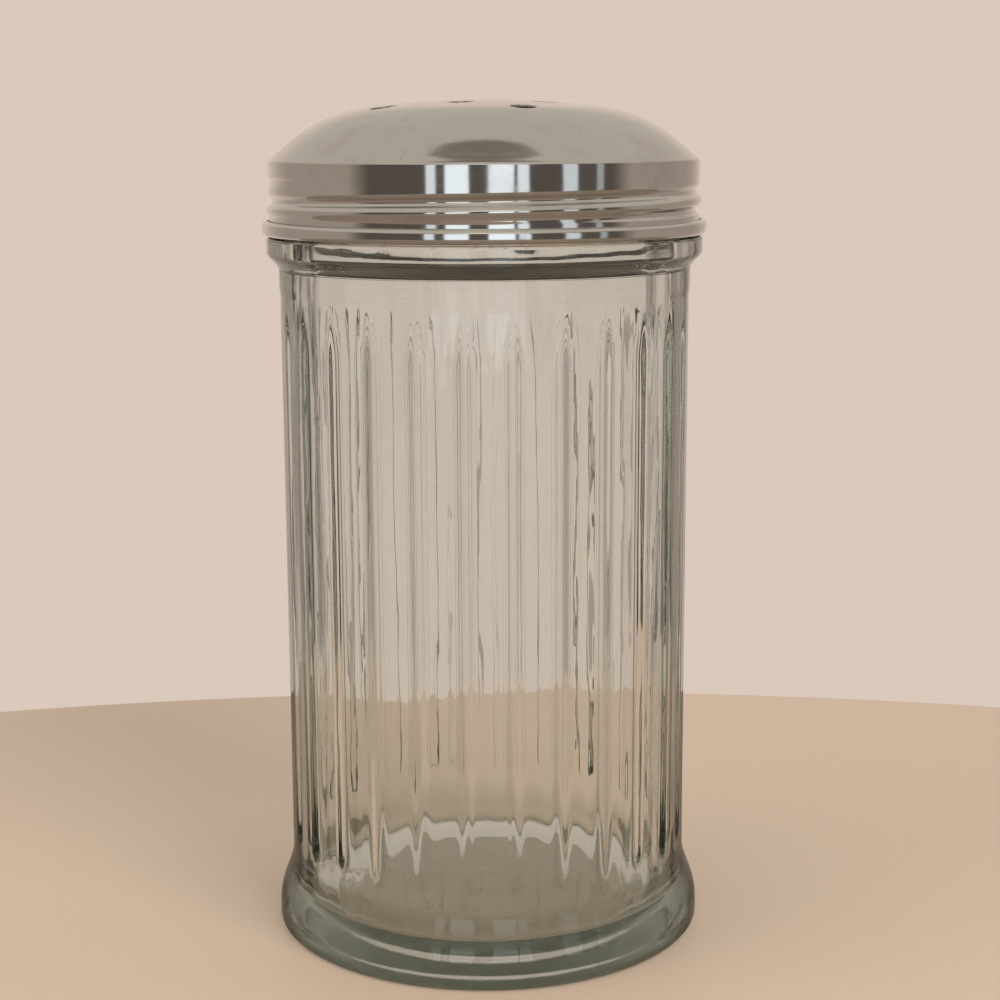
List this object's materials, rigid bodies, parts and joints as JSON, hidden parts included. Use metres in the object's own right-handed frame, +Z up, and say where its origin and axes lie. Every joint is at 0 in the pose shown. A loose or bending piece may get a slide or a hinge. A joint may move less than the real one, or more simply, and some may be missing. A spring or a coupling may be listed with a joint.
{
  "type": "glass shaker jar with screw lid",
  "caption": "Fluted clear-glass shaker jar with a flared thick foot and a domed metal screw lid pierced with round holes, for sugar or grated cheese.",
  "frame": {"origin": "on the resting plane, at the middle of the foot", "axes": "+Z up along the jar's axis, +X to the right and +Y away from the picture's viewer"},
  "size_m": [0.0764, 0.0764, 0.1456],
  "materials": {
    "clear_glass": "gloss",
    "polished_steel": "polished",
    "ring_plastic": "matte"
  },
  "bodies": {
    "jar": {"jar": "clear_glass"},
    "sealing_ring": {"sealing_ring": "ring_plastic"},
    "lid": {"lid": "polished_steel"}
  },
  "joints": [
    {"name": "lid_rise", "type": "slide", "parent": "jar", "child": "sealing_ring", "axis": [0, 0, 1], "range_m": [0, 0.0124]},
    {"name": "lid_turn", "type": "hinge", "parent": "sealing_ring", "child": "lid", "pos_m": [0, 0, 0.13], "axis": [0, 0, 1], "range_deg": [0, 1350]}
  ],
  "couplings": [
    {"joint": "lid_rise", "follows": "lid_turn", "m_per_rad": 0.00052521}
  ]
}
